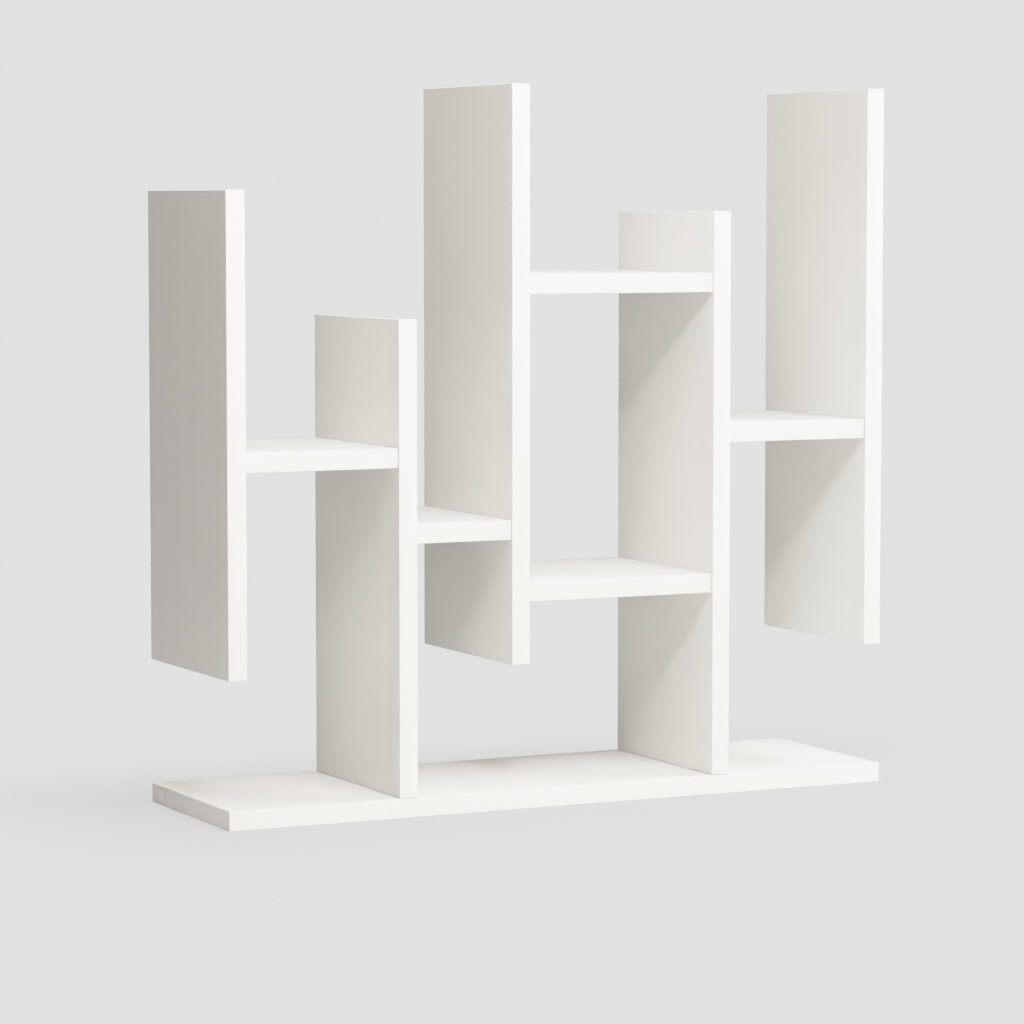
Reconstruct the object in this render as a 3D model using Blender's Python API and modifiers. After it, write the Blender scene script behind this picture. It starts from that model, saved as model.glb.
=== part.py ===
"""White desk-top shelving unit with open bays at several heights.

A base board carries two standing uprights. Shelves run from these to three more uprights that hang
clear of the base. Each shelf end has one cam lock in the shelf's underside, the bolt that it grips, and
two dowels. The standing uprights are screwed and dowelled to the base from below.

Metres, +Z up. X runs along the base, the front faces -Y, and the origin is the middle of the underside.
"""

import math

import bmesh
import bpy
from mathutils import Vector

# Boards
BOARD = 0.016
DEPTH = 0.170
SHELF_SETBACK = 0.002
EDGE_ROUND = 0.0008
JOINT_GAP = 0.0003

# Clear widths of the bays between neighbouring uprights, from left to right
LEFT_BAY = 0.132
BRIDGE_BAY = 0.085
CENTRE_BAY = 0.171
RIGHT_BAY = 0.132

# Uprights: their lengths, and how far the hanging ones stay above the base board's top face
SHORT_UPRIGHT = 0.386
TALL_UPRIGHT = 0.472
HANGING_CLEARANCE = 0.103

# Undersides of the shelves above the base board's top face. The upper centre shelf keeps its place
# below the tall upright's top end instead.
LEFT_SHELF_HEIGHT = 0.267
BRIDGE_SHELF_HEIGHT = 0.2055
LOWER_SHELF_HEIGHT = 0.154
UPPER_SHELF_DROP = 0.051
RIGHT_SHELF_HEIGHT = 0.2795

# Drilled holes
HOLE_CLEARANCE = 0.0003
HOLE_END_CLEARANCE = 0.0008
ROW_INSET = 0.037

# Fluted dowels
DOWEL_DIAMETER = 0.008
DOWEL_LENGTH = 0.030
DOWEL_IN_FACE = 0.010
DOWEL_CHAMFER = 0.0009
FLUTE_DEPTH = 0.0004
FLUTES = 8

# Cam locks: a cup with a closed cap, an eccentric hollow and a slot that winds round its wall
CAM_DIAMETER = 0.015
CAM_HEIGHT = 0.0125
CAM_SETBACK = 0.024
CAM_CAP = 0.003
CAM_THIN_WALL = 0.0014
CAM_THICK_WALL = 0.003
CAM_FACE_RECESS = 0.0003
CROSS_LENGTH = 0.0062
CROSS_WIDTH = 0.0013
CROSS_DEPTH = 0.0018

# Connecting bolts: screwed into the upright, with a collar on its face and a ball in the cam
BOLT_THREAD_DIAMETER = 0.005
BOLT_THREAD_LENGTH = 0.011
BOLT_COLLAR_DIAMETER = 0.0072
BOLT_COLLAR_LENGTH = 0.0015
BOLT_NECK_DIAMETER = 0.0044
BOLT_BALL_DIAMETER = 0.0068
TIP_CHAMFER = 0.0012

# Countersunk screws with a hexagon socket, from below the base into the standing uprights
SCREW_LENGTH = 0.050
SCREW_HEAD_DIAMETER = 0.010
SCREW_RIM = 0.0006
SCREW_SHANK_DIAMETER = 0.007
SCREW_CORE_DIAMETER = 0.005
SCREW_SOCKET = 0.004
SCREW_SOCKET_DEPTH = 0.0026
SCREW_RECESS = 0.0005

# Facets of round pieces and holes, and how far a cutter runs past the face that it opens
CAM_SIDES = 20
BORE_SIDES = 12
TURNED_SIDES = 12
BALL_STEPS = 4
SLOT_STEPS = 10
PAST_FACE = 0.002
MERGE_DISTANCE = 0.00001

# Edges sharper than the first angle are not shaded smooth, and those sharper than the second are a
# dowel's end edges.
SMOOTH_ANGLE = math.radians(40)
END_EDGE_ANGLE = math.radians(60)

BAYS = (LEFT_BAY, BRIDGE_BAY, CENTRE_BAY, RIGHT_BAY)
WIDTH = sum(BAYS) + BOARD * (len(BAYS) + 1)

# Uprights from left to right. name: length, whether it stands on the base
UPRIGHTS = {
    "left_hanging_upright": (SHORT_UPRIGHT, False),
    "short_standing_upright": (SHORT_UPRIGHT, True),
    "centre_hanging_upright": (TALL_UPRIGHT, False),
    "tall_standing_upright": (TALL_UPRIGHT, True),
    "right_hanging_upright": (TALL_UPRIGHT, False),
}

# name: upright at its left end, height of its underside above the base board's top face
SHELVES = {
    "left_shelf": ("left_hanging_upright", LEFT_SHELF_HEIGHT),
    "bridge_shelf": ("short_standing_upright", BRIDGE_SHELF_HEIGHT),
    "lower_centre_shelf": ("centre_hanging_upright", LOWER_SHELF_HEIGHT),
    "upper_centre_shelf": ("centre_hanging_upright", TALL_UPRIGHT - UPPER_SHELF_DROP - BOARD),
    "right_shelf": ("tall_standing_upright", RIGHT_SHELF_HEIGHT),
}

LEFT = Vector((-1, 0, 0))
RIGHT = Vector((1, 0, 0))
DOWN = Vector((0, 0, -1))
UP = Vector((0, 0, 1))

# Dowel and screw rows run at the same distance from the uprights' front and rear edges.
ROWS = {"front": ROW_INSET - DEPTH / 2, "rear": DEPTH / 2 - ROW_INSET}
CAM_ROW = 0.0


def clear_scene():
    for obj in list(bpy.data.objects):
        bpy.data.objects.remove(obj)


def new_collection(name, parent):
    collection = bpy.data.collections.new(name)
    parent.children.link(collection)
    return collection


def principled(name, colour, roughness, metallic=0.0):
    material = bpy.data.materials.new(name)
    material.use_nodes = True
    shader = material.node_tree.nodes["Principled BSDF"]
    shader.inputs["Base Color"].default_value = (*colour, 1)
    shader.inputs["Roughness"].default_value = roughness
    shader.inputs["Metallic"].default_value = metallic
    material.diffuse_color = (*colour, 1)
    return material


def mesh_of(name, bm):
    mesh = bpy.data.meshes.new(name)
    bm.to_mesh(mesh)
    bm.free()
    return mesh


def finished_mesh(obj):
    """The object's mesh with its modifiers applied; the object itself goes."""
    bpy.context.view_layer.update()
    graph = bpy.context.evaluated_depsgraph_get()
    mesh = bpy.data.meshes.new_from_object(obj.evaluated_get(graph))
    bpy.data.objects.remove(obj)
    mesh.shade_smooth()
    mesh.set_sharp_from_angle(angle=SMOOTH_ANGLE)
    return mesh


def add_part(name, mesh, material, location, rotation=(0, 0, 0)):
    part = bpy.data.objects.new(name, mesh)
    if not mesh.materials:
        mesh.materials.append(material)
    part.location = location
    part.rotation_euler = rotation
    part.parent = unit
    parts.objects.link(part)
    return part


def add_cutter(name, mesh, location, collection, rotation=(0, 0, 0)):
    cutter = bpy.data.objects.new(name, mesh)
    cutter.location = location
    cutter.rotation_euler = rotation
    cutter.hide_render = True
    cutter.display_type = "WIRE"
    collection.objects.link(cutter)
    return cutter


def cut_with(part, collection):
    """A Boolean that takes every cutter of the collection away from the part."""
    cut = part.modifiers.new("bores", "BOOLEAN")
    cut.operation = "DIFFERENCE"
    cut.solver = "EXACT"
    cut.operand_type = "COLLECTION"
    cut.collection = collection


def cylinder(radius, depth, sides):
    """A cylinder along Z about its middle."""
    bm = bmesh.new()
    bmesh.ops.create_cone(bm, cap_ends=True, segments=sides, radius1=radius, radius2=radius, depth=depth)
    return bm


def raised_cylinder_mesh(name, radius, depth, sides):
    """A cylinder on the Z axis, from z = 0 up to its depth."""
    bm = cylinder(radius, depth, sides)
    bmesh.ops.translate(bm, verts=bm.verts, vec=UP * depth / 2)
    return mesh_of(name, bm)


def box(size):
    bm = bmesh.new()
    bmesh.ops.create_cube(bm, size=1)
    bmesh.ops.scale(bm, vec=size, verts=bm.verts)
    return bm


def turned_mesh(name, profile):
    """A closed shape turned about Z. The profile gives (radius, z) from the top of the axis to its foot."""
    bm = bmesh.new()
    points = [bm.verts.new((radius, 0, z)) for radius, z in profile]
    for upper, lower in zip(points, points[1:]):
        bm.edges.new((upper, lower))
    blank = bpy.data.objects.new(name, mesh_of(name, bm))
    cutters.objects.link(blank)
    turn = blank.modifiers.new("turn", "SCREW")
    turn.axis = "Z"
    turn.steps = turn.render_steps = TURNED_SIDES
    turn.use_merge_vertices = True
    turn.merge_threshold = MERGE_DISTANCE
    return finished_mesh(blank)


def rotation_towards(direction):
    """Turns a piece made along +Z so that it points along X or Z in the given direction."""
    return UP.rotation_difference(direction).to_euler()


def bore(board, location, direction, diameter, depth, sides=BORE_SIDES):
    """A blind hole from a point on the board's face, along the direction, opened past the face."""
    radius = diameter / 2 + HOLE_CLEARANCE
    mesh = raised_cylinder_mesh("bore", radius, depth + PAST_FACE, sides)
    start = location - direction * PAST_FACE
    add_cutter(f"{board}_bore", mesh, start, bores[board], rotation_towards(direction))


def add_board(name, size, centre, square_ends=()):
    """A board with rounded edges, except round the ends that butt against another board."""
    bm = box(size)
    weight = bm.edges.layers.float.new("bevel_weight_edge")
    for edge in bm.edges:
        square = any(all(corner.co.dot(end) > 0 for corner in edge.verts) for end in square_ends)
        edge[weight] = 0 if square else 1
    board = add_part(name, mesh_of(name, bm), white_board, centre)
    soften = board.modifiers.new("rounded_edges", "BEVEL")
    soften.limit_method = "WEIGHT"
    soften.width = EDGE_ROUND
    soften.segments = 2
    bores[name] = new_collection(f"{name}_bores", cutters)
    cut_with(board, bores[name])


def left_face(upright):
    """X of an upright's left face."""
    place = list(UPRIGHTS).index(upright)
    return -WIDTH / 2 + place * BOARD + sum(BAYS[:place])


def add_base():
    add_board("base_board", (WIDTH, DEPTH, BOARD), (0, 0, BOARD / 2))


def add_upright(name, length, standing):
    foot = BOARD + (JOINT_GAP if standing else HANGING_CLEARANCE)
    top = BOARD + length + (0 if standing else HANGING_CLEARANCE)
    centre = (left_face(name) + BOARD / 2, 0, (foot + top) / 2)
    add_board(name, (BOARD, DEPTH, top - foot), centre, [DOWN] if standing else [])


def shelf_ends(left_upright):
    """The uprights at a shelf's ends, each with the X of the face that the shelf meets."""
    names = list(UPRIGHTS)
    right_upright = names[names.index(left_upright) + 1]
    return (left_upright, left_face(left_upright) + BOARD), (right_upright, left_face(right_upright))


def add_shelf(name, left_upright, height):
    (_, left), (_, right) = shelf_ends(left_upright)
    size = (right - left - 2 * JOINT_GAP, DEPTH - SHELF_SETBACK, BOARD)
    add_board(name, size, ((left + right) / 2, SHELF_SETBACK / 2, BOARD + height + BOARD / 2), [LEFT, RIGHT])


def dowel_mesh():
    """A dowel along Z about its middle: each second corner of the prism is drawn in as a flute."""
    radius = DOWEL_DIAMETER / 2
    bm = cylinder(radius, DOWEL_LENGTH, 2 * FLUTES)
    inner = 1 - FLUTE_DEPTH / radius
    for corner in bm.verts:
        turn = math.atan2(corner.co.y, corner.co.x) / (math.pi / FLUTES)
        if round(turn) % 2:
            corner.co.x *= inner
            corner.co.y *= inner
    dowel = bpy.data.objects.new("dowel", mesh_of("dowel", bm))
    cutters.objects.link(dowel)
    chamfer = dowel.modifiers.new("chamfer", "BEVEL")
    chamfer.limit_method = "ANGLE"
    chamfer.angle_limit = END_EDGE_ANGLE
    chamfer.width = DOWEL_CHAMFER
    chamfer.segments = 1
    return finished_mesh(dowel)


def cam_hollow():
    """Radius of the cam's hollow and how far its centre lies off the cam's axis."""
    radius = (CAM_DIAMETER - CAM_THIN_WALL - CAM_THICK_WALL) / 2
    return radius, (CAM_THICK_WALL - CAM_THIN_WALL) / 2


def slot_half_width():
    return BOLT_NECK_DIAMETER / 2 + HOLE_CLEARANCE


def ball_offset():
    """How far the ball's centre lies from the cam's axis, on the side of the joint.

    The locked ball bears on the slot's two lips, where its section is a circle of lip_radius.
    """
    hollow, off_centre = cam_hollow()
    lip_radius = math.sqrt((BOLT_BALL_DIAMETER / 2) ** 2 - slot_half_width() ** 2)
    return hollow - off_centre - lip_radius - HOLE_CLEARANCE


def slot_end_angle():
    """Angle at which the ball's widest section leaves the hollow: the slot reaches a little past it."""
    hollow, off_centre = cam_hollow()
    reach = BOLT_BALL_DIAMETER / 2 + 2 * HOLE_CLEARANCE
    apart = ball_offset() + off_centre
    along = (apart**2 + hollow**2 - reach**2) / (2 * apart)
    return math.atan2(math.sqrt(hollow**2 - along**2), along - off_centre)


def slot_mesh():
    """The slot through the cam's wall: a ring sector from beyond the locked ball round to the way in."""
    bm = bmesh.new()
    start = -slot_end_angle()
    angles = [start + (math.pi - start) * step / SLOT_STEPS for step in range(SLOT_STEPS + 1)]
    hollow, off_centre = cam_hollow()
    inner = hollow - off_centre - PAST_FACE
    outer = CAM_DIAMETER / 2 + PAST_FACE
    outline = [(inner, angle) for angle in angles] + [(outer, angle) for angle in reversed(angles)]
    corners = [bm.verts.new((r * math.cos(a), r * math.sin(a), -slot_half_width())) for r, a in outline]
    face = bm.faces.new(corners)
    raised = bmesh.ops.extrude_face_region(bm, geom=[face])["geom"]
    lifted = [part for part in raised if isinstance(part, bmesh.types.BMVert)]
    bmesh.ops.translate(bm, verts=lifted, vec=UP * 2 * slot_half_width())
    bmesh.ops.recalc_face_normals(bm, faces=bm.faces)
    return mesh_of("cam_slot", bm)


def cam_mesh():
    """A locked cam on the Z axis, cap down, with the joint on its +X side."""
    cuts = new_collection("cam_cuts", cutters)
    hollow, off_centre = cam_hollow()
    axis_height = BOARD / 2 - CAM_FACE_RECESS
    hollow_depth = CAM_HEIGHT - CAM_CAP + PAST_FACE
    way_in = BOLT_BALL_DIAMETER / 2 + HOLE_CLEARANCE
    hollow_mesh = raised_cylinder_mesh("cam_hollow", hollow, hollow_depth, CAM_SIDES)
    add_cutter("cam_hollow", hollow_mesh, (-off_centre, 0, CAM_CAP), cuts)
    add_cutter("cam_slot", slot_mesh(), (0, 0, axis_height), cuts)
    way_in_mesh = raised_cylinder_mesh("cam_way_in", way_in, CAM_DIAMETER / 2 + PAST_FACE, TURNED_SIDES)
    add_cutter("cam_way_in", way_in_mesh, (0, 0, axis_height), cuts, rotation_towards(LEFT))
    for name, turn in (("cam_cross", math.pi / 4), ("cam_cross_over", -math.pi / 4)):
        bar = mesh_of(name, box((CROSS_LENGTH, CROSS_WIDTH, 2 * CROSS_DEPTH)))
        add_cutter(name, bar, (0, 0, 0), cuts, (0, 0, turn))
    body = raised_cylinder_mesh("cam_lock", CAM_DIAMETER / 2, CAM_HEIGHT, CAM_SIDES)
    cam = bpy.data.objects.new("cam_lock", body)
    cutters.objects.link(cam)
    cut_with(cam, cuts)
    return finished_mesh(cam)


def bolt_mesh():
    """A connecting bolt along Z, its thread up and the upright's face at z = 0."""
    thread = BOLT_THREAD_DIAMETER / 2
    collar = BOLT_COLLAR_DIAMETER / 2
    neck = BOLT_NECK_DIAMETER / 2
    ball = BOLT_BALL_DIAMETER / 2
    centre = ball_offset() - CAM_SETBACK
    profile = [
        (0, BOLT_THREAD_LENGTH),
        (thread - TIP_CHAMFER, BOLT_THREAD_LENGTH),
        (thread, BOLT_THREAD_LENGTH - TIP_CHAMFER),
        (thread, -JOINT_GAP),
        (collar, -JOINT_GAP),
        (collar, -JOINT_GAP - BOLT_COLLAR_LENGTH),
        (neck, -JOINT_GAP - BOLT_COLLAR_LENGTH),
    ]
    start = math.asin(neck / ball)
    for step in range(BALL_STEPS):
        angle = start + (math.pi - start) * step / BALL_STEPS
        profile.append((ball * math.sin(angle), centre + ball * math.cos(angle)))
    profile.append((0, centre - ball))
    return turned_mesh("cam_bolt", profile)


def head_outline(foot, clearance=0.0):
    """A base screw's head from the shank's edge to the axis at its foot, or the hole round it."""
    head = SCREW_HEAD_DIAMETER / 2 + clearance
    shank = SCREW_SHANK_DIAMETER / 2 + clearance
    return [(shank, SCREW_RIM + head - shank), (head, SCREW_RIM), (head, foot), (0, foot)]


def screw_mesh():
    """A countersunk screw along Z, with its head's flat face at z = 0 and a hexagon socket in it."""
    shank = SCREW_SHANK_DIAMETER / 2
    core = SCREW_CORE_DIAMETER / 2
    shank_end = BOARD - SCREW_RECESS - HOLE_END_CLEARANCE
    shaft = [
        (0, SCREW_LENGTH),
        (core - TIP_CHAMFER, SCREW_LENGTH),
        (core, SCREW_LENGTH - TIP_CHAMFER),
        (core, shank_end),
        (shank, shank_end),
    ]
    screw = bpy.data.objects.new("base_screw", turned_mesh("base_screw", shaft + head_outline(0)))
    cutters.objects.link(screw)
    cuts = new_collection("screw_cuts", cutters)
    corner_radius = SCREW_SOCKET / math.sqrt(3)
    socket = raised_cylinder_mesh("screw_socket", corner_radius, SCREW_SOCKET_DEPTH + PAST_FACE, 6)
    add_cutter("screw_socket", socket, (0, 0, -PAST_FACE), cuts)
    cut_with(screw, cuts)
    return finished_mesh(screw)


def screw_hole_mesh():
    """The countersunk hole right through the base board, round a screw whose head is at z = 0."""
    shank = SCREW_SHANK_DIAMETER / 2 + HOLE_CLEARANCE
    end = BOARD - SCREW_RECESS + PAST_FACE
    outline = head_outline(-SCREW_RECESS - PAST_FACE, HOLE_CLEARANCE)
    return turned_mesh("screw_hole", [(0, end), (shank, end)] + outline)


def add_dowel(name, mouth, into_face, face_board, end_board):
    """A dowel across a joint. mouth is on the drilled face, and into_face points into that board."""
    in_end = DOWEL_LENGTH - DOWEL_IN_FACE
    middle = mouth + into_face * (DOWEL_IN_FACE - DOWEL_LENGTH / 2)
    add_part(name, dowel, beech, middle, rotation_towards(into_face))
    bore(face_board, mouth, into_face, DOWEL_DIAMETER, DOWEL_IN_FACE + HOLE_END_CLEARANCE)
    end_mouth = mouth - into_face * JOINT_GAP
    end_depth = in_end - JOINT_GAP + HOLE_END_CLEARANCE
    bore(end_board, end_mouth, -into_face, DOWEL_DIAMETER, end_depth)


def add_cam_joint(shelf, upright, face_x, direction, height, side):
    """The fittings where one shelf end meets an upright's face; direction points into the upright."""
    axis = Vector((face_x, CAM_ROW, BOARD + height + BOARD / 2))
    turn = math.pi if direction == LEFT else 0
    cam_axis = axis - direction * CAM_SETBACK - UP * BOARD / 2
    add_part(f"{shelf}_cam_{side}", cam, zinc, cam_axis + UP * CAM_FACE_RECESS, (0, 0, turn))
    bore(shelf, cam_axis, UP, CAM_DIAMETER, CAM_FACE_RECESS + CAM_HEIGHT + HOLE_CLEARANCE, CAM_SIDES)
    add_part(f"{shelf}_bolt_{side}", bolt, plated_steel, axis, rotation_towards(direction))
    bore(upright, axis, direction, BOLT_THREAD_DIAMETER, BOLT_THREAD_LENGTH + HOLE_END_CLEARANCE)
    bore(shelf, axis - direction * JOINT_GAP, -direction, BOLT_COLLAR_DIAMETER, CAM_SETBACK)
    for row, y in ROWS.items():
        mouth = Vector((axis.x, y, axis.z))
        add_dowel(f"{shelf}_dowel_{side}_{row}", mouth, direction, upright, shelf)


def add_shelf_joints(shelf, left_upright, height):
    (left, left_x), (right, right_x) = shelf_ends(left_upright)
    add_cam_joint(shelf, left, left_x, LEFT, height, "left")
    add_cam_joint(shelf, right, right_x, RIGHT, height, "right")


def add_base_joint(upright):
    """Screws from below the base at both rows and a dowel midway, up into the upright's foot."""
    x = left_face(upright) + BOARD / 2
    core_length = SCREW_RECESS + SCREW_LENGTH - BOARD - JOINT_GAP + HOLE_END_CLEARANCE
    for row, y in ROWS.items():
        head = Vector((x, y, SCREW_RECESS))
        add_part(f"{upright}_screw_{row}", screw, plated_steel, head)
        add_cutter(f"{upright}_screw_hole_{row}", screw_hole, head, bores["base_board"])
        foot = Vector((x, y, BOARD + JOINT_GAP))
        bore(upright, foot, UP, SCREW_CORE_DIAMETER, core_length)
    mouth = Vector((x, CAM_ROW, BOARD))
    add_dowel(f"{upright}_dowel", mouth, DOWN, "base_board", upright)


clear_scene()
parts = new_collection("shelving_unit", bpy.context.scene.collection)
cutters = new_collection("cutters", bpy.context.scene.collection)
unit = bpy.data.objects.new("shelving_unit", None)
parts.objects.link(unit)
bores = {}

white_board = principled("white_melamine", (0.87, 0.865, 0.85), 0.42)
beech = principled("beech", (0.62, 0.43, 0.26), 0.7)
zinc = principled("die_cast_zinc", (0.56, 0.57, 0.58), 0.42, 1.0)
plated_steel = principled("zinc_plated_steel", (0.66, 0.66, 0.64), 0.28, 1.0)

dowel = dowel_mesh()
cam = cam_mesh()
bolt = bolt_mesh()
screw = screw_mesh()
screw_hole = screw_hole_mesh()

add_base()
for upright, (length, standing) in UPRIGHTS.items():
    add_upright(upright, length, standing)
    if standing:
        add_base_joint(upright)
for shelf, (left_upright, height) in SHELVES.items():
    add_shelf(shelf, left_upright, height)
    add_shelf_joints(shelf, left_upright, height)
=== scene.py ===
import math

import bmesh
import bpy
import numpy as np
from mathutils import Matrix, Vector


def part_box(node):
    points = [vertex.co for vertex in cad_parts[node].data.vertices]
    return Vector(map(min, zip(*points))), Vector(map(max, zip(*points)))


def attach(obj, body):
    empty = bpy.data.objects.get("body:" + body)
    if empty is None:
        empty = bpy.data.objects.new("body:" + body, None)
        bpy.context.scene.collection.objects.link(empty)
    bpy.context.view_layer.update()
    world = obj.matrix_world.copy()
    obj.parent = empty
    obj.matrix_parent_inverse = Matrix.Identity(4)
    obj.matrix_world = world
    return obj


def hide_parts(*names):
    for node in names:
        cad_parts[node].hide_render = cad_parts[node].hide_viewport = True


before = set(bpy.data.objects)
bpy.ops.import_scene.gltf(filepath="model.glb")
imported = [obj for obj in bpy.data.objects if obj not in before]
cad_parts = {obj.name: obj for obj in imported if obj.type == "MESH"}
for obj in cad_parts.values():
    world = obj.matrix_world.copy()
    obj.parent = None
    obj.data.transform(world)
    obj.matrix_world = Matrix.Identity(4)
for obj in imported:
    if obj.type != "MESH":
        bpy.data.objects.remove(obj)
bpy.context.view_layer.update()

# White desk-top shelving unit: its finishes, edge bands and fittings, the stage, the light and the camera.
# Metres, +Z up. The front faces -Y.

SHELVES = ("left_shelf", "bridge_shelf", "lower_centre_shelf", "upper_centre_shelf", "right_shelf")
HANGING_UPRIGHTS = ("left_hanging_upright", "centre_hanging_upright", "right_hanging_upright")
STANDING_UPRIGHTS = ("short_standing_upright", "tall_standing_upright")
UPRIGHTS = HANGING_UPRIGHTS + STANDING_UPRIGHTS
BOARDS = ("base_board",) + UPRIGHTS + SHELVES

# Edge bands: the radius of the boards' rounded edges, how far a band stands out of its board, how far its
# root stays below the faces, the gap where two bands meet, the steps of a quarter circle, and the name of
# the bands' UV map
BAND_RADIUS = 0.0008
BAND_LIFT = 0.00004
BAND_ROOT = 0.0003
BAND_JOINT = 0.00006
ARC_STEPS = 6
BAND_MAP = "along_and_across"

# Cam locks: the cast face on the cap, its raised rim, the cross recess's mouth and the arrow. Heights are
# measured out of the cap. The last two count the points on half an arm's end and along an arm's side.
CAM_FACE_RADIUS = 0.00736
CAM_FACE_HEIGHT = 0.00012
CAM_FACE_ROOT = 0.0001
CAM_RIM_HEIGHT = 0.00024
CAM_RIM_WIDTH = 0.0009
CROSS_HALF_LENGTH = 0.00306
CROSS_HALF_WIDTH = 0.00061
CROSS_MOUTH = 0.0001
CROSS_ARMS = 4
ARROW_TIP = 0.0061
ARROW_BACK = 0.0043
ARROW_HALF_WIDTH = 0.0011
ARROW_HEIGHT = 0.0002
ARROW_SLOPE = 0.00005
ARROW_TOP_SHARE = 0.86
ARM_END_POINTS = 4
ARM_SIDE_POINTS = 12

# Threads: the outline of the ridge over one pitch, as shares of the pitch and of the depth
THREAD_SHARE = (0.0, 0.30, 0.40, 0.46, 0.54, 0.60, 0.70)
THREAD_RIDGE = (0.0, 0.0, 0.62, 1.0, 1.0, 0.62, 0.0)

# Base screws along Z, head down: hexagon socket, countersunk head, shank and thread
SCREW_LENGTH = 0.050
SCREW_AROUND = 72
SOCKET_SIDES = 6
SOCKET_APOTHEM = 0.002
SOCKET_DEPTH = 0.0026
SOCKET_MOUTH = 0.0003
SOCKET_CONE = 0.0006
HEAD_RADIUS = 0.005
HEAD_RIM = 0.0006
SHANK_RADIUS = 0.0035
SHANK_END = 0.0147
SCREW_CORE = 0.0025
SCREW_THREAD_DEPTH = 0.0009
SCREW_PITCH = 0.003
SCREW_THREAD_SPAN = (0.0157, 0.0480)
TIP_CHAMFER = 0.0012

# Connecting bolts along Z, thread up, with the upright's face at z = 0
BOLT_AROUND = 40
BOLT_TIP = 0.011
BOLT_CORE = 0.0021
BOLT_THREAD_DEPTH = 0.0004
BOLT_PITCH = 0.0016
BOLT_THREAD_SPAN = (0.0004, 0.0096)
COLLAR_RADIUS = 0.0036
COLLAR_SPAN = (-0.0018, -0.0003)
NECK_RADIUS = 0.0022
BALL_RADIUS = 0.0034
BALL_POINTS = 16

# Dowels along Z
DOWEL_AROUND = 96
DOWEL_RADIUS = 0.004
DOWEL_LENGTH = 0.030
DOWEL_ROUND = 0.0012
DOWEL_ROUND_POINTS = 6
DOWEL_FLUTES = 24
FLUTE_DEPTH = 0.00028
FLUTE_POWER = 4

# Small chamfer on the edges of the screws and bolts
EDGE_BREAK = 0.0002

# Faces that meet at less than this angle are shaded as one, and points nearer than this are merged. The
# last value keeps a divisor off zero.
SMOOTH_ANGLE = math.radians(35)
MERGE_DISTANCE = 0.0000002
TINY = 1e-9

# Colours of the finishes. Each surface varies between its first two, and the others mark it.
PAPER_LIGHT = (0.886, 0.884, 0.874)
PAPER_DARK = (0.870, 0.867, 0.855)
PAPER_PORE = (0.70, 0.68, 0.64)
PAPER_RUBBED = (0.72, 0.69, 0.63)
PAPER_DUST = (0.68, 0.67, 0.64)
BAND_LIGHT = (0.844, 0.844, 0.836)
BAND_DARK = (0.833, 0.832, 0.822)
BAND_RUBBED = (0.74, 0.72, 0.67)
BAND_GLUE = (0.40, 0.36, 0.29)
CHIP_DARK = (0.42, 0.29, 0.17)
CHIP_LIGHT = (0.68, 0.52, 0.34)
CHIP_FIBRE = (0.55, 0.40, 0.25)
ZINC_BRIGHT = (0.60, 0.61, 0.62)
ZINC_DULL = (0.44, 0.45, 0.46)
PLATING_WARM = (0.70, 0.70, 0.66)
PLATING_COOL = (0.62, 0.66, 0.70)
BEECH_LIGHT = (0.66, 0.47, 0.29)
BEECH_DARK = (0.54, 0.36, 0.21)
BEECH_RAY = (0.30, 0.17, 0.09)

# Roughness of the finishes: one value before texture, dust and wear, or the two that it varies between
PAPER_ROUGHNESS = 0.40
CORE_ROUGHNESS = 0.85
BAND_ROUGHNESS = 0.34
ZINC_ROUGHNESS = (0.36, 0.52)
PLATING_ROUGHNESS = (0.22, 0.34)
BEECH_ROUGHNESS = (0.58, 0.75)

# Height of the fine relief in each finish, and for the metals the features a metre in it
PAPER_RELIEF = 0.00002
BAND_RELIEF = 0.000012
ZINC_RELIEF = 0.00003
PLATING_RELIEF = 0.000012
BEECH_RELIEF = 0.00004
ZINC_GRAIN = 2600
PLATING_GRAIN = 5200

# The distances at which a mark begins to show and shows in full: the chip core below a board's face,
# rubbing near a board's edge, and the glue line and rubbing near a band's lip. The core's outline is ragged
# by up to CORE_RAGGED.
CORE_DEPTH = (0.00005, 0.0002)
CORE_RAGGED = 0.0004
RUBBED_EDGE = (0.0016, 0.0003)
GLUE_LINE = (0.00009, 0.00003)
RUBBED_ROUND = (0.0018, 0.0008)

# The span that soft noise mostly keeps to, and how far the paper's pattern moves on from board to board
NOISE_SPAN = (0.3, 0.7)
PATTERN_STEP = (0.37, 0.11, 0.23)


# Meshes

def grid_quads(rows, columns, wrap_rows=False, wrap_columns=False):
    """Corner numbers of the quads between neighbouring points of a rows by columns grid of points."""
    i, j = np.meshgrid(
        np.arange(rows if wrap_rows else rows - 1),
        np.arange(columns if wrap_columns else columns - 1),
        indexing="ij",
    )
    i, j = i.ravel(), j.ravel()
    next_i, next_j = (i + 1) % rows, (j + 1) % columns
    return np.stack(
        [i * columns + j, next_i * columns + j, next_i * columns + next_j, i * columns + next_j], axis=1
    )


def swept_shell(points):
    """A closed shell from a profile carried along a path, given as path by profile by 3 points.

    Quads join neighbouring stations round the closed profile, and one flat face closes each end.
    """
    stations, around, _ = points.shape
    quads = grid_quads(stations, around, wrap_columns=True)
    caps = [np.arange(around)[::-1], np.arange(around) + (stations - 1) * around]
    return points.reshape(-1, 3), quads, caps


def angles(count):
    """Evenly spaced angles round a circle."""
    return np.linspace(0, 2 * math.pi, count, endpoint=False)


def turned_points(radius, turn, height):
    """Points (radius * cos turn, radius * sin turn, height) about Z."""
    return np.stack([radius * np.cos(turn), radius * np.sin(turn), height], axis=-1)


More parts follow.
